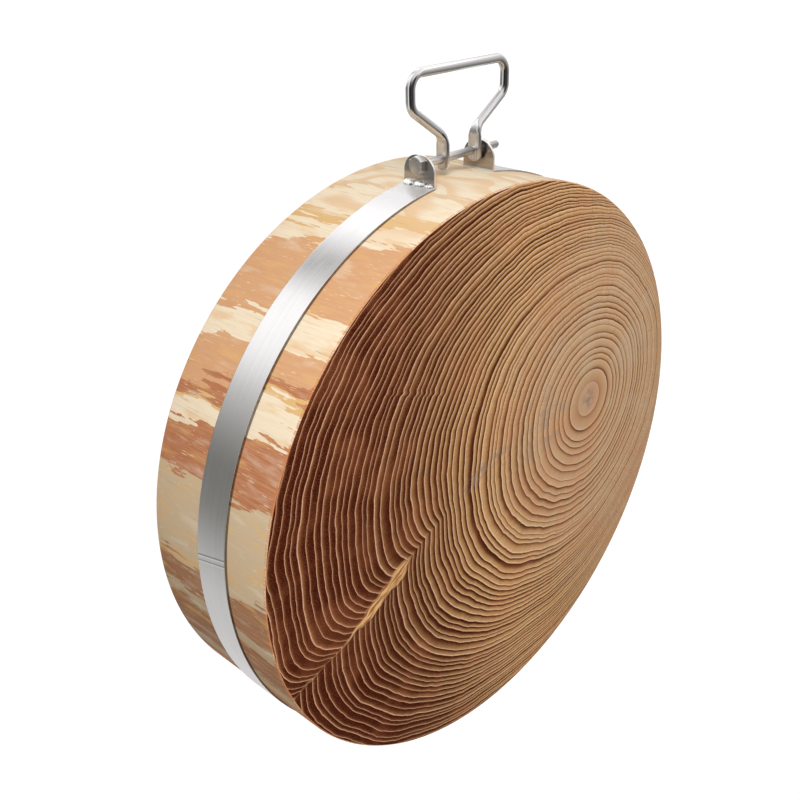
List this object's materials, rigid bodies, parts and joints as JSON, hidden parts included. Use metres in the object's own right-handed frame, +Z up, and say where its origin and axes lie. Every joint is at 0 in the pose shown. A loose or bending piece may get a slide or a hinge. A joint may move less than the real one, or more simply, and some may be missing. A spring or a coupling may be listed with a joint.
{
  "type": "round chopping block",
  "caption": "Thick round end-grain chopping block held by a clamped steel rim band, with a swinging rod handle pivoted on the clamp bolt.",
  "frame": {"origin": "centre of the face that the block rests on when it lies flat in use", "axes": "+Z up through the cutting face, +Y from the block's centre out through the handle, X along the clamp bolt"},
  "size_m": [0.41, 0.4596, 0.102],
  "materials": {
    "wood": "brushed end grain, bare",
    "band_steel": "brushed along its length",
    "lug_steel": "smooth rolled sheet",
    "weld_metal": "bright rippled bead",
    "bolt_steel": "bright drawn",
    "handle_steel": "polished"
  },
  "bodies": {
    "base": {"block": "wood", "band": "band_steel", "lug_left": "lug_steel", "lug_right": "lug_steel", "weld_left": "weld_metal", "weld_right": "weld_metal", "bolt": "bolt_steel", "nut": "bolt_steel"},
    "handle": {"handle": "handle_steel"}
  },
  "joints": [
    {"name": "handle_swing", "type": "hinge", "parent": "base", "child": "handle", "pos_m": [0.0082, 0.2069, 0.0556], "axis": [1, 0, 0], "range_deg": [-97, 99]}
  ]
}
